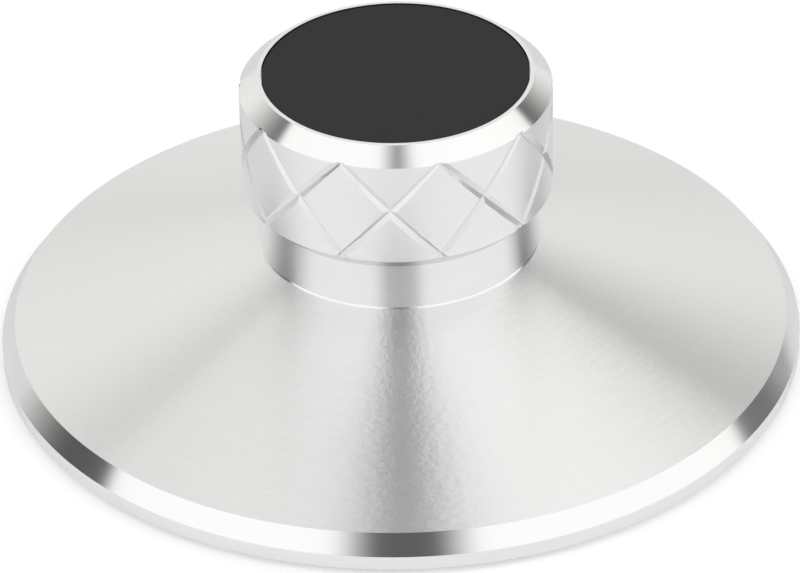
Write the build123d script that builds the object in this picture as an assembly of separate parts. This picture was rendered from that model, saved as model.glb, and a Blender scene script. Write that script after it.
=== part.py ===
from build123d import *

import os
from math import asin, atan2, cos, degrees, radians, sin, tan

# A weight that stands on a record, round the turntable's spindle. It is turned
# about +Z and stands on Z = 0, with the spindle's axis as its Z axis. Sizes are
# in millimetres, and the side that faces -Y is its front.

# Base disc: rim, mirror-cut bevel and brushed cone
base_diameter = 90.0
rim_height = 1.8
rim_edge_break = 0.2
bevel_width = 1.5
bevel_height = 2.1
cone_rise = 9.8

# Fine bevel that rings the foot of the knob
foot_bevel = 0.2

# Knob: neck, underside that curves out of the neck, grooved grip and mirror-cut chamfer
knob_diameter = 34.5
neck_step = 1.6
neck_height = 5.1
underside_height = 1.9
grip_height = 11.9
chamfer_width = 2.0
chamfer_height = 1.7
top_land_width = 0.45

# Black disc let into the top of the knob
inlay_thickness = 0.9
inlay_sink = 0.1
inlay_clearance = 0.1

# Crossing V grooves round the grip, as many of each hand. Each is a stroke of the
# tool on a wide arc, so it is deepest half-way up, where it crosses the others
groove_count = 10
groove_depth = 0.32
groove_end_depth = 0.17
groove_angle = 120.0
groove_top_overrun = 0.15
groove_foot_margin = 0.6
groove_front_angle = -21.0
groove_run_out = 2.0
cutter_overhang = 0.4

# Threaded spigot of the knob, drawn plain, and the hole that it screws into
spigot_diameter = 20.0
spigot_end_gap = 0.3
spigot_chamfer = 0.6
thread_clearance = 0.05
thread_lead_in = 0.7

# Drilled bore for the turntable's spindle, in the spigot
spindle_diameter = 7.2
spindle_clearance = 0.1
bore_depth = 21.0
bore_lead_in = 0.8
drill_point_angle = 118.0

# Soft ring under the base disc, which the weight stands on
pad_thickness = 1.5
pad_recess_depth = 1.0
pad_margin = 3.0
pad_width = 22.0
pad_clearance = 0.1

# Radii that the sizes above give
base_radius = base_diameter / 2
bevel_inner_radius = base_radius - bevel_width
knob_radius = knob_diameter / 2
neck_radius = knob_radius - neck_step
knob_top_radius = knob_radius - chamfer_width
recess_radius = knob_top_radius - top_land_width
inlay_radius = recess_radius - inlay_clearance
spigot_radius = spigot_diameter / 2
thread_radius = spigot_radius + thread_clearance
bore_radius = spindle_diameter / 2 + spindle_clearance
pad_outer_radius = base_radius - pad_margin
pad_inner_radius = pad_outer_radius - pad_width

# Heights that the sizes above give, from the surface up
underside_z = pad_thickness - pad_recess_depth
rim_top_z = underside_z + rim_height
bevel_top_z = rim_top_z + bevel_height
cone_top_z = bevel_top_z + cone_rise
seat_z = cone_top_z + foot_bevel
spigot_end_z = underside_z + spigot_end_gap
bore_top_z = spigot_end_z + bore_depth
drill_point_z = bore_top_z + bore_radius / tan(radians(drill_point_angle / 2))
neck_top_z = seat_z + neck_height
grip_bottom_z = neck_top_z + underside_height
grip_top_z = grip_bottom_z + grip_height
knob_top_z = grip_top_z + chamfer_height
recess_z = knob_top_z - inlay_thickness - inlay_sink


def runs(points, close=False):
    """Straight runs from one (radius, height) point to the next."""
    return Polyline(*[(radius, 0, height) for radius, height in points], close=close)


def turned(outline):
    """The solid that a closed outline turns about Z."""
    return revolve(make_face(outline), axis=Axis.Z)


def base_disc():
    """Rim, bevel and cone in one piece, with the threaded hole and the pad's recess."""
    body = turned(runs([
        (thread_radius, underside_z + thread_lead_in),
        (thread_radius + thread_lead_in, underside_z),
        (base_radius - rim_edge_break, underside_z),
        (base_radius, underside_z + rim_edge_break),
        (base_radius, rim_top_z),
        (bevel_inner_radius, bevel_top_z),
        (neck_radius + foot_bevel, cone_top_z),
        (neck_radius, seat_z),
        (thread_radius + thread_lead_in, seat_z),
        (thread_radius, seat_z - thread_lead_in),
    ], close=True))
    recess = turned(runs([
        (pad_inner_radius - pad_clearance, 0),
        (pad_outer_radius + pad_clearance, 0),
        (pad_outer_radius + pad_clearance, pad_thickness),
        (pad_inner_radius - pad_clearance, pad_thickness),
    ], close=True))
    return body - recess


def groove_cutter(hand):
    """One V-section cutter, bent to the arc of a groove and leaning to its hand, at +X."""
    crossing_low = grip_bottom_z + groove_foot_margin
    crossing_high = grip_top_z + groove_top_overrun
    half_rise = (crossing_high - crossing_low) / 2
    half_pitch = radians(180 / groove_count)
    # The floor touches three crossings: one half-way up and one at each end
    floor_radius = knob_radius - groove_depth
    end_radius = knob_radius - groove_end_depth
    lean = atan2(half_rise, end_radius * sin(half_pitch))
    half_chord = half_rise / sin(lean)
    sag = floor_radius - end_radius * cos(half_pitch)
    arc_radius = (sag ** 2 + half_chord ** 2) / (2 * sag)
    swing = 2 * degrees(asin((half_chord + groove_run_out) / arc_radius))
    half_width = (groove_depth + cutter_overhang) * tan(radians(groove_angle / 2))
    section = Plane.XZ * make_face(Polyline(
        (arc_radius, 0),
        (arc_radius + groove_depth + cutter_overhang, -half_width),
        (arc_radius + groove_depth + cutter_overhang, half_width),
        close=True,
    ))
    arc = Rot(0, 0, -swing / 2) * revolve(section, axis=Axis.Z, revolution_arc=swing)
    middle = Pos(floor_radius - arc_radius, 0, (crossing_low + crossing_high) / 2)
    return middle * Rot(hand * degrees(lean), 0, 0) * arc


def grip_knob():
    """Spigot, neck, grooved grip and chamfer in one piece, with the bore below and a recess on top."""
    below = runs([
        (0, drill_point_z),
        (bore_radius, bore_top_z),
        (bore_radius, spigot_end_z + bore_lead_in),
        (bore_radius + bore_lead_in, spigot_end_z),
        (spigot_radius - spigot_chamfer, spigot_end_z),
        (spigot_radius, spigot_end_z + spigot_chamfer),
        (spigot_radius, seat_z),
        (neck_radius, seat_z),
        (neck_radius, neck_top_z),
    ])
    underside = TangentArc((neck_radius, 0, neck_top_z), (knob_radius, 0, grip_bottom_z), tangent=(0, 0, 1))
    above = runs([
        (knob_radius, grip_bottom_z),
        (knob_radius, grip_top_z),
        (knob_top_radius, knob_top_z),
        (recess_radius, knob_top_z),
        (recess_radius, recess_z),
        (0, recess_z),
        (0, drill_point_z),
    ])
    body = turned(below + underside + above)
    # A top crossing lies at the front angle, counted from -Y towards +X, and a middle
    # one half a pitch on. Each hand is cut in a pass of its own, as on the machine
    pitch = 360 / groove_count
    first = groove_front_angle + pitch / 2 - 90
    for hand in (1, -1):
        cutter = groove_cutter(hand)
        body -= [Rot(0, 0, first + step * pitch) * cutter for step in range(groove_count)]
    return body


def top_inlay():
    """Black disc in the recess on top of the knob."""
    return Pos(0, 0, recess_z) * extrude(Circle(inlay_radius), inlay_thickness)


def base_pad():
    """Soft ring in the recess under the base disc."""
    return extrude(Circle(pad_outer_radius) - Circle(pad_inner_radius), pad_thickness)


pieces = {
    "base_disc": base_disc(),
    "grip_knob": grip_knob(),
    "top_inlay": top_inlay(),
    "base_pad": base_pad(),
}

os.makedirs("parts", exist_ok=True)
for name, piece in pieces.items():
    export_step(piece, f"parts/{name}.step")
    print(name, round(piece.volume, 1), "cubic millimetres")
print("height", round(knob_top_z, 2), "width", base_diameter)
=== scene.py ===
# %% [markdown]
# # A record weight, dressed in Blender
#
# A record weight stands on a record, over the turntable's spindle, and presses the record flat.
# This one is turned aluminium: a low brushed cone with a mirror-cut bevel round its rim, a grip
# with crossing V grooves, and a black disc on top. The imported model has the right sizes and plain
# solids, and this lesson gives each of its four pieces a fine mesh and a finish. It starts with
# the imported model, because every new piece has to stay inside that model's box.

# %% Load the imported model
from math import atan2, cos, degrees, hypot, pi, radians, sin, sqrt, tan

import bmesh
import bpy
from mathutils import Matrix, Vector


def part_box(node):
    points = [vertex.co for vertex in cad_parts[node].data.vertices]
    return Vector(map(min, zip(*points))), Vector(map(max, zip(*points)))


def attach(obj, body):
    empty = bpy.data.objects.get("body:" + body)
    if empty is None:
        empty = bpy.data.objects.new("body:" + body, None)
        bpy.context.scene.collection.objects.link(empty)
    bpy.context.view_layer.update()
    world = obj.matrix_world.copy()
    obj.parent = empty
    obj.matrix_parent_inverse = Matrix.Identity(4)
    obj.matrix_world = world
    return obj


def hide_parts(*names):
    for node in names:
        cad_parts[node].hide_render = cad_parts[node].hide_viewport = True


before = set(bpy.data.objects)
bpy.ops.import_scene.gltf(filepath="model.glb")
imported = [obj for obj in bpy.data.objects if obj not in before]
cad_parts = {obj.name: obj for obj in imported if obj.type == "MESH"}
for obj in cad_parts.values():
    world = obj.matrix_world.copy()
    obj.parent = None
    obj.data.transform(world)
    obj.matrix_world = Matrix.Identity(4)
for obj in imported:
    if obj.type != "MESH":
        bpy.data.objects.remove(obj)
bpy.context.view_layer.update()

MM = 0.001


# %% [markdown]
# ## Outer sizes
#
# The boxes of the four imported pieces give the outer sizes, so that the meshes can't drift away
# from the solids. The turned steps between them are what a lathe operator would read from the
# drawing. Each is named later, where its piece is made.

# %% Read the outer sizes from the frame
disc_low, disc_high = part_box("base_disc")
knob_low, knob_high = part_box("grip_knob")
inlay_low, inlay_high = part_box("top_inlay")
pad_low, pad_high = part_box("base_pad")

rim_radius = disc_high.x
knob_radius = knob_high.x
inlay_radius = inlay_high.x
pad_radius = pad_high.x
underside = disc_low.z
seat = disc_high.z
knob_top = knob_high.z
print("rim", round(rim_radius / MM, 2), "knob", round(knob_radius / MM, 2), "top", round(knob_top / MM, 2))

# %% [markdown]
# ## Turned pieces
#
# A turned piece is one outline, spun about its axis. A Screw modifier on a curve would do it too,
# but Spin leaves a plain mesh at once, whose corners Bevel can round. A full spin needs its ends
# merged, and it can leave a shape inside out, so the doubles are merged and the normals
# recalculated. Edges that turn by more than a few degrees stay sharp, and everything between them
# is shaded smooth, which keeps a mirror-cut face free of facets.

# %% Make an object of a mesh
MERGE = 1e-7
SHARP_ANGLE = radians(8)


def finished(bm, name, materials):
    """The bmesh as an object at the origin, with smooth faces and sharp corners."""
    bmesh.ops.remove_doubles(bm, verts=bm.verts, dist=MERGE)
    bmesh.ops.recalc_face_normals(bm, faces=bm.faces)
    mesh = bpy.data.meshes.new(name)
    bm.to_mesh(mesh)
    bm.free()
    mesh.polygons.foreach_set("use_smooth", [True] * len(mesh.polygons))
    mesh.set_sharp_from_angle(angle=SHARP_ANGLE)
    for material in materials:
        mesh.materials.append(material)
    piece = bpy.data.objects.new(name, mesh)
    bpy.context.scene.collection.objects.link(piece)
    print(name, "has", len(mesh.polygons), "faces")
    return piece


print("corners over", round(degrees(SHARP_ANGLE)), "degrees stay sharp")

# %% Spin an outline
SPIN_STEPS = 360


def spun(outline):
    """A closed bmesh, turned about Z from (radius, height) points."""
    bm = bmesh.new()
    points = [bm.verts.new((radius, 0, height)) for radius, height in outline]
    edges = [bm.edges.new(pair) for pair in zip(points, points[1:] + points[:1])]
    bmesh.ops.spin(bm, geom=points + edges, cent=(0, 0, 0), axis=(0, 0, 1),
                   angle=2 * pi, steps=SPIN_STEPS, use_merge=True)
    return bm


print("a full turn takes", SPIN_STEPS, "steps")

# %% [markdown]
# ## Shader maths
#
# A finish is a small calculation on the place where a ray lands. Written with nodes alone it is
# hard to read, so this class wraps a socket: an expression such as 1 - mask adds the Math nodes.

# %% A socket that can be calculated with
class Wire:
    """One output of a node, on which Python's operators add Math nodes."""

    def __init__(self, tree, socket=None):
        self.tree = tree
        self.socket = socket

    def node(self, kind, settings=None, sockets=None):
        """Adds any node: its settings first, then the values or links of its sockets."""
        made = self.tree.nodes.new(kind)
        for name, value in (settings or {}).items():
            setattr(made, name, value)
        for name, value in (sockets or {}).items():
            if isinstance(value, Wire):
                self.tree.links.new(value.socket, made.inputs[name])
            else:
                made.inputs[name].default_value = value
        return {output.name: Wire(self.tree, output) for output in made.outputs if output.enabled}

    def math(self, operation, *others):
        """Adds a Math node on this value and the others."""
        values = dict(enumerate((self, *others)))
        return self.node("ShaderNodeMath", {"operation": operation}, values)["Value"]

    def __add__(self, other):
        return self.math("ADD", other)

    def __sub__(self, other):
        return self.math("SUBTRACT", other)

    def __mul__(self, other):
        return self.math("MULTIPLY", other)

    def __truediv__(self, other):
        return self.math("DIVIDE", other)

    def __neg__(self):
        return self * -1

    def __rsub__(self, other):
        return -self + other

    def __rtruediv__(self, other):
        return self.math("POWER", -1) * other

    __radd__ = __add__
    __rmul__ = __mul__

    def smooth(self, start, end):
        """0 before start and 1 after end, with a soft step between."""
        settings = {"interpolation_type": "SMOOTHSTEP"}
        sockets = {"Value": self, "From Min": start, "From Max": end}
        return self.node("ShaderNodeMapRange", settings, sockets)["Result"]

    def blend(self, first, second):
        """The first colour where this value is 0, and the second where it is 1."""
        # A Mix node has two inputs for each type of value, and 6 and 7 are its colours
        sockets = {0: self, 6: first, 7: second}
        return self.node("ShaderNodeMix", {"data_type": "RGBA"}, sockets)["Result"]


print("a wire can be added to, taken away, multiplied and divided")

# %% Start and end a material
NOISE_MIDDLE = 0.5


def new_material(name):
    """An empty node material, and the wire that its nodes start from."""
    material = bpy.data.materials.new(name)
    material.use_nodes = True
    material.node_tree.nodes.clear()
    return material, Wire(material.node_tree)


def shaded(start, tint, shade):
    """A tint that a shade near 1 makes a little darker or lighter."""
    return start.node("ShaderNodeVectorMath", {"operation": "SCALE"}, {0: tint, "Scale": shade})["Vector"]


def set_surface(start, sockets):
    """Ends a material in Principled, with the values or links of its sockets."""
    surface = start.node("ShaderNodeBsdfPrincipled", None, sockets)["BSDF"]
    start.node("ShaderNodeOutputMaterial", None, {"Surface": surface})


print("noise runs from 0 to 1, with its middle at", NOISE_MIDDLE)

# %% [markdown]
# ## Metal finishes
#
# Brushed metal is scratched one way. A scratch spreads the light across itself, so the cone gets a
# broad highlight from rim to neck and a narrow one along the scratches. Principled's Anisotropic
# does that, and a quarter turn of rotation lays the spread across the rings. An image of scratches
# would need an unwrapped mesh, so they are noise on radius and direction, stretched along the
# circle. Fine scratches and wider streaks vary the roughness and a trace of the colour. The bump
# adds the fine scratches to a coarser mottle, which is deepest on the cone and shows where that
# mirrors the edge of something dark. The noise runs on radius less height, so that it crosses the
# sloping cone and an upright wall alike.

# %% Noise that runs in rings
FINE_WIDTH = 0.15 * MM
FINE_ENDS = 9
STREAK_WIDTH = 0.55 * MM
STREAK_ENDS = 6
MOTTLE_WIDTH = 0.8 * MM
MOTTLE_ENDS = 30
FINE_SHARE = 0.4


def ring_noise(start, spacing, run):
    """Noise in concentric scratches: spacing is their width in metres, run is how often they end."""
    place = start.node("ShaderNodeTexCoord")["Object"]
    axes = start.node("ShaderNodeSeparateXYZ", None, {"Vector": place})
    radius = (axes["X"] * axes["X"] + axes["Y"] * axes["Y"]).math("SQRT")
    across = (radius - axes["Z"]) * (1 / spacing)
    rings = start.node("ShaderNodeCombineXYZ", None, {
        "X": across, "Y": axes["X"] / radius * run, "Z": axes["Y"] / radius * run})["Vector"]
    return start.node("ShaderNodeTexNoise", None, {
        "Vector": rings, "Scale": 1.0, "Detail": 3.0, "Roughness": 0.6})["Fac"]


widths = [round(width / MM, 2) for width in (FINE_WIDTH, STREAK_WIDTH, MOTTLE_WIDTH)]
print("scratches, streaks and mottle are", widths, "mm wide")

# %% Brushed metal
QUARTER_TURN = 0.25
MICRON = 0.001 * MM


def metal(name, tint, roughness, anisotropic, grain, grain_depth, mottle_depth):
    """Aluminium with concentric scratches over a faint mottle, from a brushed to a mirror-cut finish."""
    material, start = new_material(name)
    fine = ring_noise(start, FINE_WIDTH, FINE_ENDS)
    streaks = ring_noise(start, STREAK_WIDTH, STREAK_ENDS)
    mottle = ring_noise(start, MOTTLE_WIDTH, MOTTLE_ENDS)
    mark = fine * FINE_SHARE + streaks * (1 - FINE_SHARE) - NOISE_MIDDLE
    bump = start.node("ShaderNodeBump", None, {
        "Height": fine * grain_depth + mottle * mottle_depth, "Strength": 1.0, "Distance": 1.0})["Normal"]
    set_surface(start, {
        "Base Color": shaded(start, tint, mark * grain + 1), "Metallic": 1.0,
        "Roughness": mark * grain + roughness, "Anisotropic": anisotropic,
        "Anisotropic Rotation": QUARTER_TURN, "Normal": bump})
    print(name, "has a roughness of", roughness)
    return material


brushed = metal("brushed_aluminium", (0.98, 0.98, 0.985), roughness=0.30, anisotropic=1.0,
                grain=0.15, grain_depth=0.8 * MICRON, mottle_depth=22.0 * MICRON)

# %% [markdown]
# ## The other finishes of the aluminium
#
# The lathe leaves each face its own finish. Separate materials drawn by hand would drift apart, so
# the recipe of the brushed cone makes them all, with shallower scratches and rounder highlights.
# The grip and the rim's upright edge are satin, and the neck is polished. The bevels and the
# chamfer are mirror-cut with a diamond tool, which leaves hardly a scratch. The curved underside
# of the grip gets a much darker tint, which is painted shade for the dark things that it
# reflects, and the walls of the V grooves get a slightly darker tint, which is painted shade in
# the grooves.

# %% Satin, polished and mirror-cut metal, and painted shade on the underside and groove walls
satin = metal("satin_aluminium", (0.99, 0.99, 0.995), roughness=0.32, anisotropic=0.6,
              grain=0.05, grain_depth=0.5 * MICRON, mottle_depth=2.5 * MICRON)
polished = metal("polished_aluminium", (0.96, 0.96, 0.965), roughness=0.16, anisotropic=0.3,
                 grain=0.04, grain_depth=0.2 * MICRON, mottle_depth=1.5 * MICRON)
mirror = metal("mirror_cut_aluminium", (0.97, 0.97, 0.975), roughness=0.13, anisotropic=0.0,
               grain=0.02, grain_depth=0.05 * MICRON, mottle_depth=0.2 * MICRON)
# A much darker tint: painted shade for the dark things that the grip's underside reflects
shaded_undercut = metal("shaded_undercut_aluminium", (0.74, 0.74, 0.745), roughness=0.16, anisotropic=0.3,
                 grain=0.04, grain_depth=0.2 * MICRON, mottle_depth=1.5 * MICRON)
# The walls' tint is a little darker than satin: painted shade in the grooves. Their lower roughness is their
# own cut finish
cut = metal("cut_aluminium", (0.90, 0.90, 0.905), roughness=0.28, anisotropic=0.2,
            grain=0.03, grain_depth=0.2 * MICRON, mottle_depth=0.5 * MICRON)

# %% [markdown]
# ## Black finishes
#
# The disc on top and the ring underneath are soft and matt: foam and rubber with an even grain and
# no direction. A texture of cells would give them separate pores, which they don't show, so plain
# noise breaks up the colour, the roughness and the height, at a third to half a millimetre.

# %% Soft black
BLACK_SHADE_SPAN = 0.5
BLACK_ROUGHNESS_SPAN = 0.3


def soft_black(name, tint, roughness, grain_size, grain_depth):
    """Matt black foam or rubber, with an even grain of the given size and depth."""
    material, start = new_material(name)
    place = start.node("ShaderNodeTexCoord")["Object"]
    grain = start.node("ShaderNodeTexNoise", None, {
        "Vector": place, "Scale": 1 / grain_size, "Detail": 4.0, "Roughness": 0.65})["Fac"]
    mark = grain - NOISE_MIDDLE
    bump = start.node("ShaderNodeBump", None, {
        "Height": grain, "Strength": 1.0, "Distance": grain_depth})["Normal"]
    set_surface(start, {
        "Base Color": shaded(start, tint, mark * BLACK_SHADE_SPAN + 1),
        "Roughness": mark * BLACK_ROUGHNESS_SPAN + roughness, "Specular IOR Level": 0.25, "Normal": bump})
    print(name, "has a grain of", round(grain_size / MM, 2), "mm")
    return material


black_foam = soft_black("black_foam", (0.035, 0.0355, 0.038), roughness=0.85,
                        grain_size=0.35 * MM, grain_depth=0.02 * MM)
black_rubber = soft_black("black_rubber", (0.020, 0.020, 0.021), roughness=0.75,
                          grain_size=0.5 * MM, grain_depth=0.03 * MM)

# %% [markdown]
# ## Base disc
#
# The disc is one turned piece: rim, mirror-cut bevel, brushed cone, and the tiny bevel that rings
# the foot of the grip. Its outline goes round the threaded hole and the recess for the pad too, so
# that the mesh is closed. A stack of cones would leave seams, so it is a single spin, and three
# finishes share the mesh. The foot's bevel is mirror-cut from a little above the cone, which
# draws the bright line there as fine as it is on the real one.

# %% Name the disc's turned steps
rim_height = 1.8 * MM
rim_edge_break = 0.2 * MM
bevel_width = 1.5 * MM
bevel_height = 2.1 * MM
foot_bevel = 0.2 * MM
neck_step = 1.6 * MM
spigot_radius = 10.0 * MM
thread_clearance = 0.05 * MM
thread_lead_in = 0.7 * MM
pad_width = 22.0 * MM
pad_clearance = 0.1 * MM

rim_top = underside + rim_height
bevel_top = rim_top + bevel_height
bevel_inner_radius = rim_radius - bevel_width
cone_top = seat - foot_bevel
neck_radius = knob_radius - neck_step
thread_radius = spigot_radius + thread_clearance
pad_inner_radius = pad_radius - pad_width
pad_recess_inner = pad_inner_radius - pad_clearance
pad_recess_outer = pad_radius + pad_clearance
print("cone from", round(bevel_top / MM, 2), "to", round(cone_top / MM, 2), "mm high")

# %% Turn the disc
BRUSHED_SHARE_OF_FOOT = 0.4
foot_shine = cone_top + foot_bevel * BRUSHED_SHARE_OF_FOOT
base_disc = finished(spun([
    (thread_radius, underside + thread_lead_in),
    (thread_radius + thread_lead_in, underside),
    (pad_recess_inner, underside),
    (pad_recess_inner, pad_high.z),
    (pad_recess_outer, pad_high.z),
    (pad_recess_outer, underside),
    (rim_radius - rim_edge_break, underside),
    (rim_radius, underside + rim_edge_break),
    (rim_radius, rim_top),
    (bevel_inner_radius, bevel_top),
    (neck_radius + foot_bevel, cone_top),
    (neck_radius + foot_bevel * (1 - BRUSHED_SHARE_OF_FOOT), foot_shine),
    (neck_radius, seat),
    (thread_radius + thread_lead_in, seat),
    (thread_radius, seat - thread_lead_in),
]), "turned_disc", [brushed, satin, mirror])

# %% Finish the disc's faces


def reach(place):
    """How far a place lies from the axis."""
    return hypot(place.x, place.y)


def finish_faces(piece, material, test):
    """Gives one of the piece's materials to the faces whose centre passes the test."""
    slot = piece.data.materials.find(material.name)
    chosen = [face for face in piece.data.polygons if test(face.center)]
    for face in chosen:
        face.material_index = slot
    print(material.name, "is on", len(chosen), "faces of", piece.name)


finish_faces(base_disc, satin, lambda place: place.z < rim_top)
finish_faces(base_disc, mirror, lambda place: reach(place) > bevel_inner_radius and place.z > rim_top)
finish_faces(base_disc, mirror, lambda place: reach(place) > neck_radius and place.z > foot_shine)

# %% [markdown]
# ## Grip
#
# The grip is what makes this weight: ten V grooves of each hand run round it and cross in
# diamonds. Each groove is one stroke of the tool on a wide arc, so it is deepest and widest
# half-way up. Twenty cutters taken away from a cylinder would do it too, but would leave ragged
# triangles that show in the shine. The pattern repeats, so only a strip is modelled, half a
# diamond wide: the lines of the groove's floor and lips are scored into it flat with Bisect, it is
# rolled on to the cylinder, and Mirror and Spin carry it round.

# %% Name the grip's turned steps
neck_height = 5.1 * MM
underside_height = 1.9 * MM
chamfer_width = 2.0 * MM
chamfer_height = 1.7 * MM

neck_top = seat + neck_height
grip_bottom = neck_top + underside_height
grip_top = knob_top - chamfer_height
chamfer_fall = chamfer_width / chamfer_height
underside_radius = (neck_step ** 2 + underside_height ** 2) / (2 * neck_step)


def turned_radius(height):
    """Radius of the grip's outline before it is grooved."""
    if height < grip_bottom:
        return neck_radius + underside_radius - sqrt(underside_radius ** 2 - (height - neck_top) ** 2)
    return min(knob_radius, knob_radius - (height - grip_top) * chamfer_fall)


print("grip from", round(grip_bottom / MM, 2), "to", round(grip_top / MM, 2), "mm high")

# %% Name the groove's sizes
groove_count = 10
groove_depth = 0.32 * MM
groove_end_depth = 0.17 * MM
groove_half_angle = radians(60)
groove_top_overrun = 0.15 * MM
groove_foot_margin = 0.6 * MM
groove_front_angle = radians(-21)

half_pitch = pi / groove_count
crossing_low = grip_bottom + groove_foot_margin
crossing_high = grip_top + groove_top_overrun
crossing_mid = (crossing_low + crossing_high) / 2
half_rise = (crossing_high - crossing_low) / 2
floor_radius = knob_radius - groove_depth
end_radius = knob_radius - groove_end_depth
lean = atan2(half_rise, end_radius * sin(half_pitch))
sag = floor_radius - end_radius * cos(half_pitch)
arc_radius = (sag ** 2 + (half_rise / sin(lean)) ** 2) / (2 * sag)
print("a groove leans", round(degrees(lean), 1), "degrees, on an arc of", round(arc_radius / MM, 1), "mm")

# %% Follow one groove
WALL_PASSES = 12


def wall_radius(turn, rise):
    """Radius of a groove's wall, at an angle and a height from its middle, found pass by pass."""
    radius = floor_radius
    for _ in range(WALL_PASSES):
        out = radius * cos(turn) - floor_radius + arc_radius
        along = radius * sin(turn) * cos(lean) + rise * sin(lean)
        aside = rise * cos(lean) - radius * sin(turn) * sin(lean)
        radius += arc_radius + abs(aside) / tan(groove_half_angle) - hypot(out, along)
    return radius


def floor_turn(rise):
    """How far round a groove's floor has come at a height above its middle."""
    out = sqrt(arc_radius ** 2 - (rise / sin(lean)) ** 2) + floor_radius - arc_radius
    return atan2(rise / tan(lean), out)


print("the groove is", round((knob_radius - wall_radius(0, 0)) / MM, 2), "mm deep half-way up")

# %% Find where the grooves end
HALVINGS = 40


def meeting(start, end, gap):
    """The place between start and end where gap goes through zero, found by halving."""
    for _ in range(HALVINGS):
        middle = (start + end) / 2
        if (gap(middle) > 0) == (gap(end) > 0):
            end = middle
        else:
            start = middle
    return start


def floor_above_outline(height):
    """How far a groove's floor lies outside the turned outline, which ends the groove at zero."""
    rise = abs(height - crossing_mid)
    return wall_radius(floor_turn(rise), rise) - turned_radius(height)


tip_high = meeting(grip_top, knob_top, floor_above_outline)
tip_low = meeting(grip_bottom, neck_top, floor_above_outline)
print("grooves run from", round(tip_low / MM, 2), "to", round(tip_high / MM, 2), "mm")

# %% Find the lines to score
WIDEST_LIP = radians(6)


def creases(height, side):
    """Where the floor and the lips of the groove lie on the strip at a height, from its left edge."""
    rise = abs(height - crossing_mid)
    middle = floor_turn(rise)
    lips = [meeting(middle, middle + widest, lambda turn: wall_radius(turn, rise) - turned_radius(height))
            for widest in (-WIDEST_LIP, WIDEST_LIP)]
    return [side * (half_pitch - turn) * knob_radius for turn in (middle, *lips)]


_, lip_right, lip_left = creases(crossing_mid, 1)
print("the groove is", round((lip_right - lip_left) / MM, 2), "mm wide half-way up, round the grip")

# %% Lay out a flat strip
STRIP_COLUMNS = 12
BANDS = 5
BEND_STEPS = 10

strip = bmesh.new()
strip_width = half_pitch * knob_radius
bmesh.ops.create_grid(strip, x_segments=STRIP_COLUMNS, y_segments=1, size=0.5)
bmesh.ops.scale(strip, vec=(strip_width, knob_top - neck_top, 1), verts=strip.verts)
bmesh.ops.translate(strip, vec=(strip_width / 2, (knob_top + neck_top) / 2, 0), verts=strip.verts)

crossing_levels = [crossing_low + half_rise * band / BANDS for band in range(2 * BANDS + 1)]
groove_levels = sorted([tip_low, grip_bottom, grip_top, tip_high] + crossing_levels)
# These lie closer together towards the grip, where the underside bends out most
bend_rise = tip_low - neck_top
bend_levels = [neck_top + bend_rise * sin(pi / 2 * step / BEND_STEPS) for step in range(1, BEND_STEPS)]
for level in bend_levels + groove_levels:
    bmesh.ops.bisect_plane(strip, geom=strip.verts[:] + strip.edges[:] + strip.faces[:], dist=MERGE,
                           plane_co=(0, level, 0), plane_no=(0, 1, 0))
print("the strip has", len(strip.faces), "faces")

# %% Score the grooves into the strip


def score(bm, low, high, start, end):
    """Cuts the faces between two heights along the line from start, low down, to end."""
    faces = [face for face in bm.faces if low < face.calc_center_median().y < high]
    edges = {edge for face in faces for edge in face.edges}
    verts = {vert for face in faces for vert in face.verts}
    bmesh.ops.bisect_plane(bm, geom=faces + list(edges) + list(verts), dist=MERGE,
                           plane_co=(start, low, 0), plane_no=(high - low, start - end, 0))


for low, high in zip(groove_levels, groove_levels[1:]):
    side = 1 if crossing_low < (low + high) / 2 < crossing_high else -1
    for start, end in zip(creases(low, side), creases(high, side)):
        score(strip, low, high, start, end)
print("the scored strip has", len(strip.faces), "faces")

# %% Roll the strip on to the cylinder


def skin_radius(turn, height):
    """Radius of the grip's skin: the turned outline, or a groove's wall where that lies deeper."""
    rise = abs(height - crossing_mid)
    from_grooves = (half_pitch - turn, half_pitch + turn, turn - half_pitch)
    return min(turned_radius(height), *[wall_radius(from_groove, rise) for from_groove in from_grooves])


for vert in strip.verts:
    turn = vert.co.x / knob_radius
    radius = skin_radius(turn, vert.co.y)
    vert.co = (radius * sin(turn), -radius * cos(turn), vert.co.y)
print("the strip now covers", round(degrees(half_pitch)), "degrees of the grip")

# %% Carry the strip round
bmesh.ops.mirror(strip, geom=strip.verts[:] + strip.edges[:] + strip.faces[:], matrix=Matrix(),
                 merge_dist=MERGE, axis="X")
copies = groove_count - 1
bmesh.ops.spin(strip, geom=strip.verts[:] + strip.edges[:] + strip.faces[:], cent=(0, 0, 0), axis=(0, 0, 1),
               angle=2 * pi * copies / groove_count, steps=copies, use_duplicate=True)
bmesh.ops.remove_doubles(strip, verts=strip.verts, dist=MERGE)
bmesh.ops.rotate(strip, verts=strip.verts, cent=(0, 0, 0), matrix=Matrix.Rotation(groove_front_angle, 3, "Z"))
open_edges = [edge for edge in strip.edges if edge.is_boundary]
print("the skin has", len(strip.faces), "faces and", len(open_edges), "open edges, at its two ends")

# %% [markdown]
# ## The rest of the grip
#
# The rest of the grip is turned: the narrow flat ring round the black disc and the recess that
# holds it, and below, the neck, the spigot that screws into the base, and the drilled bore for
# the spindle. A second spin would need joining to the skin, so each open end of the skin, which
# is a ring of edges, is extruded ring by ring along the outline, and a merge closes each pole.

# %% Name the steps inside the grip
# A ring of this radius is small enough to be merged into one point
POLE = 1e-6
top_land = 0.45 * MM
spigot_chamfer = 0.6 * MM
bore_radius = 3.7 * MM
bore_depth = 21.0 * MM
bore_lead_in = 0.8 * MM
drill_point_half_angle = radians(59)

recess_radius = knob_radius - chamfer_width - top_land
recess_floor = inlay_low.z
spigot_end = knob_low.z
bore_top = spigot_end + bore_depth
bore_point = bore_top + bore_radius / tan(drill_point_half_angle)
print("the bore ends", round((knob_top - bore_point) / MM, 2), "mm under the top")

# %% Turn the rest from the open rings


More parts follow.
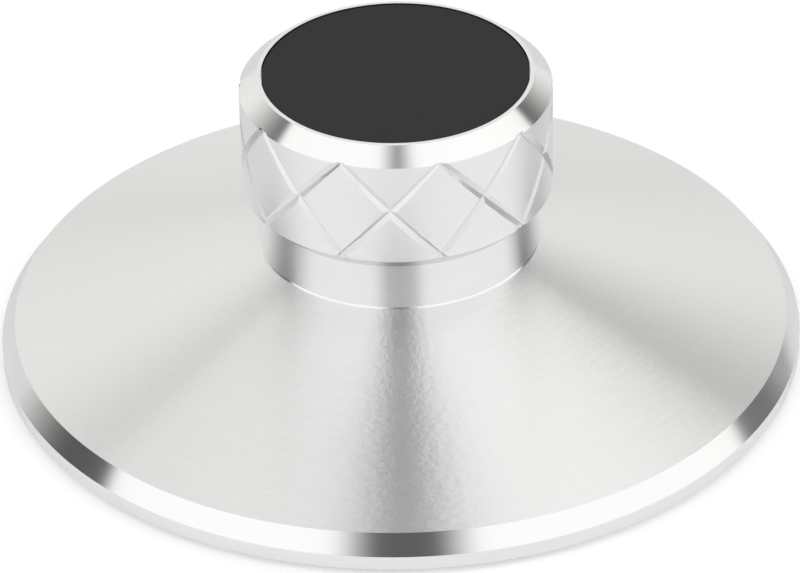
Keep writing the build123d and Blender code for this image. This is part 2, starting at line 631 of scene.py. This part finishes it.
def turn_on(bm, ring, outline):
    """Extrudes a ring of edges to each (radius, height) of the outline in turn."""
    for radius, height in outline:
        made = bmesh.ops.extrude_edge_only(bm, edges=ring)["geom"]
        ring = [item for item in made if isinstance(item, bmesh.types.BMEdge)]
        for vert in {vert for edge in ring for vert in edge.verts}:
            wide = hypot(vert.co.x, vert.co.y)
            vert.co = (vert.co.x * radius / wide, vert.co.y * radius / wide, height)
    return ring


top_ring = [edge for edge in open_edges if edge.verts[0].co.z > grip_top]
foot_ring = [edge for edge in open_edges if edge.verts[0].co.z < grip_bottom]
top_pole = turn_on(strip, top_ring, [
    (recess_radius, knob_top), (recess_radius, recess_floor), (POLE, recess_floor)])
bore_pole = turn_on(strip, foot_ring, [
    (neck_radius, seat), (spigot_radius, seat), (spigot_radius, spigot_end + spigot_chamfer),
    (spigot_radius - spigot_chamfer, spigot_end), (bore_radius + bore_lead_in, spigot_end),
    (bore_radius, spigot_end + bore_lead_in), (bore_radius, bore_top), (POLE, bore_point)])
for pole in (top_pole, bore_pole):
    pole_verts = list({vert for edge in pole for vert in edge.verts})
    bmesh.ops.pointmerge(strip, verts=pole_verts, merge_co=(0, 0, pole_verts[0].co.z))
grip = finished(strip, "diamond_grip", [satin, mirror, polished, cut, shaded_undercut])

# %% Finish the grip's faces
INSIDE_NECK = 0.99
POLISHED_SHARE_OF_CURVE = 0.12
# From this share of the way up the curve, the underside takes its painted shade
shaded_undercut_low = neck_top + underside_height * POLISHED_SHARE_OF_CURVE


def in_groove(place):
    """Whether a place on the grip's skin lies in a groove."""
    turn = (atan2(place.x, -place.y) - groove_front_angle) % (2 * half_pitch)
    turn = min(turn, 2 * half_pitch - turn)
    return tip_low < place.z < tip_high and skin_radius(turn, place.z) < turned_radius(place.z) - MERGE


def on_neck(place):
    """Whether a place lies on the neck or on the curve above it, and not in the bore."""
    return reach(place) > neck_radius * INSIDE_NECK and seat < place.z < grip_bottom


finish_faces(grip, mirror, lambda place: place.z > grip_top)
finish_faces(grip, polished, on_neck)
# The underside of the grip gets its painted shade here
finish_faces(grip, shaded_undercut, lambda place: shaded_undercut_low < place.z < grip_bottom)
# The groove walls get their painted shade here
finish_faces(grip, cut, in_groove)

# %% [markdown]
# ## Inlay and pad
#
# The disc on top is punched from a sheet and glued in, and the ring underneath is cut from rubber.
# Both are soft, so their corners are slightly round and catch a soft line of light. A Bevel
# modifier would round them too, but it would come after the sharp edges are marked. So Bevel is
# run on the mesh first, on its right-angled corners.

# %% Round the corners of a turned piece
CORNER_ANGLE = radians(60)
ROUNDING_SEGMENTS = 3


def rounded(bm, amount):
    """Rounds every edge of a turned bmesh that has a right-angled corner."""
    bmesh.ops.remove_doubles(bm, verts=bm.verts, dist=MERGE)
    corners = [edge for edge in bm.edges
               if len(edge.link_faces) == 2 and edge.calc_face_angle() > CORNER_ANGLE]
    bmesh.ops.bevel(bm, geom=corners, offset=amount, offset_type="OFFSET", affect="EDGES",
                    segments=ROUNDING_SEGMENTS, profile=0.5, material=-1)
    print("rounded", len(corners), "edges by", round(amount / MM, 2), "mm")
    return bm


print("corners over", round(degrees(CORNER_ANGLE)), "degrees are rounded")

# %% Make the soft pieces
inlay_rounding = 0.12 * MM
pad_rounding = 0.25 * MM

inlay_bm = bmesh.new()
bmesh.ops.create_cone(inlay_bm, cap_ends=True, segments=SPIN_STEPS, radius1=inlay_radius,
                      radius2=inlay_radius, depth=inlay_high.z - inlay_low.z)
bmesh.ops.translate(inlay_bm, vec=(0, 0, (inlay_low.z + inlay_high.z) / 2), verts=inlay_bm.verts)
inlay = finished(rounded(inlay_bm, inlay_rounding), "black_inlay", [black_foam])

pad = finished(rounded(spun([
    (pad_inner_radius, pad_low.z), (pad_radius, pad_low.z),
    (pad_radius, pad_high.z), (pad_inner_radius, pad_high.z),
]), pad_rounding), "soft_pad", [black_rubber])

# %% [markdown]
# ## Bodies and nodes
#
# Nothing on a record weight moves, so all four pieces ride on the one body. Each stands for the
# imported node of the same shape, which is hidden and stays in the model for collision.

# %% Give each piece its body, and hide the node that it stands for
BODY = "root"
for piece, node, slot in ((base_disc, "base_disc", "brushed_disc"), (grip, "grip_knob", "satin_knob"),
                          (inlay, "top_inlay", "black_inlay"), (pad, "base_pad", "black_pad")):
    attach(piece, BODY)
    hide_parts(node)
    print(piece.name, "stands for", node)

# %% [markdown]
# ## Studio
#
# Polished metal shows its room, so the room is part of the finish. The studio is a white tent
# with a narrow gap for the camera, which runs from the front up over the top, and a dark gap at
# each side, behind which the back wall is a pale grey. Lamps and cards round the object could
# build it, but then they would show in the other views and light the object unevenly. So the
# world's shader draws it by direction. Azimuth 0 is the camera's side and positive towards +X,
# elevation is the angle over the horizon, and over runs from the front horizon over the top to
# the back, all in degrees. The two numbers of each smooth are where its soft step starts and ends.

# %% Read a ray's direction
world = bpy.data.worlds.new("studio")
bpy.context.scene.world = world
world.use_nodes = True
world.node_tree.nodes.clear()
studio = Wire(world.node_tree)
ray = studio.node("ShaderNodeTexCoord")["Generated"]
way = studio.node("ShaderNodeSeparateXYZ", None, {"Vector": ray})
to_degrees = degrees(1)
azimuth = way["X"].math("ARCTAN2", -way["Y"]) * to_degrees
elevation = way["Z"].math("ARCSINE") * to_degrees
over = way["Z"].math("ARCTAN2", -way["Y"]) * to_degrees
sideways = way["X"].math("ABSOLUTE")
turned_away = azimuth.math("ABSOLUTE")
print("a ray's direction is in", len(world.node_tree.nodes), "nodes")

# %% Cut the gap at each side
GAP_EDGE = 3


def side_gap(turn, front, front_lean, back, back_lean, back_blur):
    """Dark gap at one side: how dark it is, from its sharp front edge to its soft back edge."""
    dark_from = (turn - elevation * front_lean).smooth(front - GAP_EDGE, front + GAP_EDGE)
    light_from = (turn - elevation * back_lean).smooth(back - back_blur, back + back_blur)
    return dark_from * (1 - light_from)


def gap_depth(depth_below, depth_above, low, high):
    """The share of light that a gap takes away, which changes between two elevations."""
    return elevation.smooth(low, high) * (depth_above - depth_below) + depth_below


left_gap = side_gap(-azimuth, front=71, front_lean=0.85, back=119, back_lean=0.05, back_blur=19)
right_gap = side_gap(azimuth, front=93.5, front_lean=0.745, back=131, back_lean=0.22, back_blur=20)
left_dark = left_gap * gap_depth(depth_below=0.91, depth_above=0.51, low=38, high=54)
right_dark = right_gap * gap_depth(depth_below=0.83, depth_above=0.91, low=20, high=34)
print("the world has", len(world.node_tree.nodes), "nodes with its side gaps")

# %% Cut the gap for the camera
GAP_DARK_TO = 0.10
GAP_LIGHT_FROM = 0.33
NARROWER_OVERHEAD = 0.15
WIDER_LOW_DOWN = 0.05
CAMERA_GAP_DEPTH = 0.90
PALER_OVERHEAD = 0.05

overhead = over.smooth(40, 68)
low_down = 1 - over.smooth(14, 32)
off_centre = sideways + overhead * NARROWER_OVERHEAD - low_down * WIDER_LOW_DOWN
camera_gap = 1 - off_centre.smooth(GAP_DARK_TO, GAP_LIGHT_FROM)
above_horizon = over.smooth(2, 22)
short_of_back = 1 - over.smooth(115, 140)
camera_dark = camera_gap * (CAMERA_GAP_DEPTH - overhead * PALER_OVERHEAD) * short_of_back * above_horizon
print("the camera's gap takes", CAMERA_GAP_DEPTH, "of the light")

# %% Set the light of the tent
TENT_LEVEL = 1.01
REAR_FALL = 0.20
LEFT_ROOF_FALL = 0.28
RIGHT_ROOF_RISE = 0.01

rear = turned_away.smooth(100, 150) * (1 - elevation.smooth(30, 60))
left_roof = (-way["X"]).smooth(-0.1, 0.2) * way["Y"].smooth(-0.1, 0.3) * way["Z"].smooth(0.68, 0.85)
right_roof = way["X"].smooth(0.1, 0.5) * way["Z"].smooth(0.5, 0.85)
cloth = TENT_LEVEL - rear * REAR_FALL - left_roof * LEFT_ROOF_FALL + right_roof * RIGHT_ROOF_RISE
light = cloth * (1 - left_dark) * (1 - right_dark) * (1 - camera_dark)
print("the tent's level is", TENT_LEVEL, "in front and", round(TENT_LEVEL - REAR_FALL, 2), "behind")

# %% [markdown]
# The camera itself sees plain white wherever the floor ends, at a strength of 1, while the tent
# lights the object and shows in its reflections. The tent's sides and back are a trace warmer than
# its front, which gives the metal its faint change of hue.

# %% Light the world
COOL_FRONT = (0.988, 0.995, 1.0, 1.0)
WARM_SIDES = (1.0, 0.992, 0.968, 1.0)
WHITE = (1.0, 1.0, 1.0, 1.0)

seen = studio.node("ShaderNodeLightPath")["Is Camera Ray"]
tint = seen.blend(turned_away.smooth(50, 110).blend(COOL_FRONT, WARM_SIDES), WHITE)
strength = light + seen * (1 - light)
background = studio.node("ShaderNodeBackground", None, {"Color": tint, "Strength": strength})
studio.node("ShaderNodeOutputWorld", None, {"Surface": background["Background"]})
print("the world has", len(world.node_tree.nodes), "nodes")

# %% [markdown]
# ## Floor
#
# The floor is pale and fills the picture. The tent lights it, so it keeps the soft shadow round
# the rim, and what the camera sees gets the small rest that makes it white. More lamps would make
# it white too, but would wash out the shadow. In front of the object, the metal's reflections get
# a little of that rest as well. Behind the object, to the right, the floor is painted darker, and
# the camera's share makes up for it, so only the metal shows that. The floor lies a hair under the
# pad, so that the two faces don't share one plane.

# %% Lay the floor
FLOOR_SIZE = 6.0
FLOOR_GAP = 0.02 * MM
floor_bm = bmesh.new()
bmesh.ops.create_grid(floor_bm, x_segments=1, y_segments=1, size=FLOOR_SIZE / 2)
bmesh.ops.translate(floor_bm, vec=(0, 0, pad_low.z - FLOOR_GAP), verts=floor_bm.verts)
floor_mesh = bpy.data.meshes.new("floor")
floor_bm.to_mesh(floor_mesh)
floor_bm.free()
floor = bpy.data.objects.new("floor", floor_mesh)
bpy.context.scene.collection.objects.link(floor)
print("the floor is", FLOOR_SIZE, "m wide")

# %% Paint the floor
FLOOR_TONE = 0.87
CAMERA_LIFT = 0.35
FRONT_LIFT = 0.13
DUSK = 0.43

floor_paint, ground = new_material("pale_floor")
floor_path = ground.node("ShaderNodeLightPath")
floor_seen = floor_path["Is Camera Ray"].math("MAXIMUM", floor_path["Is Transmission Ray"])
spot = ground.node("ShaderNodeSeparateXYZ", None, {"Vector": ground.node("ShaderNodeTexCoord")["Object"]})
away = (spot["X"] * spot["X"] + spot["Y"] * spot["Y"]).math("SQRT")
behind_right = spot["Y"].smooth(-0.01, 0.02) * (spot["X"] - spot["Y"]).smooth(0.02, 0.06)
dusk = away.smooth(0.052, 0.11) * behind_right * DUSK
front_lift = (1 - spot["Y"].smooth(-0.03, 0.03)) * FRONT_LIFT
lift = (floor_seen * (dusk + CAMERA_LIFT)).math("MAXIMUM", floor_path["Is Glossy Ray"] * front_lift)
set_surface(ground, {
    "Base Color": FLOOR_TONE - dusk, "Roughness": 0.9, "Specular IOR Level": 0.0,
    "Emission Color": lift, "Emission Strength": 1.0})
floor_mesh.materials.append(floor_paint)
print("the floor's tone is", FLOOR_TONE)

# %% [markdown]
# ## Camera
#
# The photograph is a long-lens picture, which shows in how little the rim's ellipse narrows
# towards its back, and it looks down at about 34 degrees. Pointing a camera by eye would miss such
# a view, so the numbers are stated. The camera's place is in rim radii, from the middle of the
# rim's lower edge. It looks a little flatter than straight at that point, and leans by about a
# degree. The lens and the sensor are in millimetres.

# %% Place the camera
CAMERA_DISTANCE = 12.592
LENS = 225
SENSOR = 36
camera_elevation = radians(34.137)
camera_pitch = radians(33.612)
camera_roll = radians(-1.213)

camera_data = bpy.data.cameras.new("camera")
camera_data.sensor_width = SENSOR
camera_data.lens = LENS
camera_data.clip_start = 0.01
camera_data.clip_end = 20
camera = bpy.data.objects.new("camera", camera_data)
bpy.context.scene.collection.objects.link(camera)
distance = CAMERA_DISTANCE * rim_radius
camera_place = Vector((0, -distance * cos(camera_elevation), underside + distance * sin(camera_elevation)))
pitched = Matrix.Rotation(pi / 2 - camera_pitch, 4, "X")
rolled = Matrix.Rotation(camera_roll, 4, "Z")
camera.matrix_world = Matrix.Translation(camera_place) @ pitched @ rolled
bpy.context.scene.camera = camera
bpy.context.scene.view_settings.view_transform = "Standard"
print("the camera is", round(distance, 3), "m away")
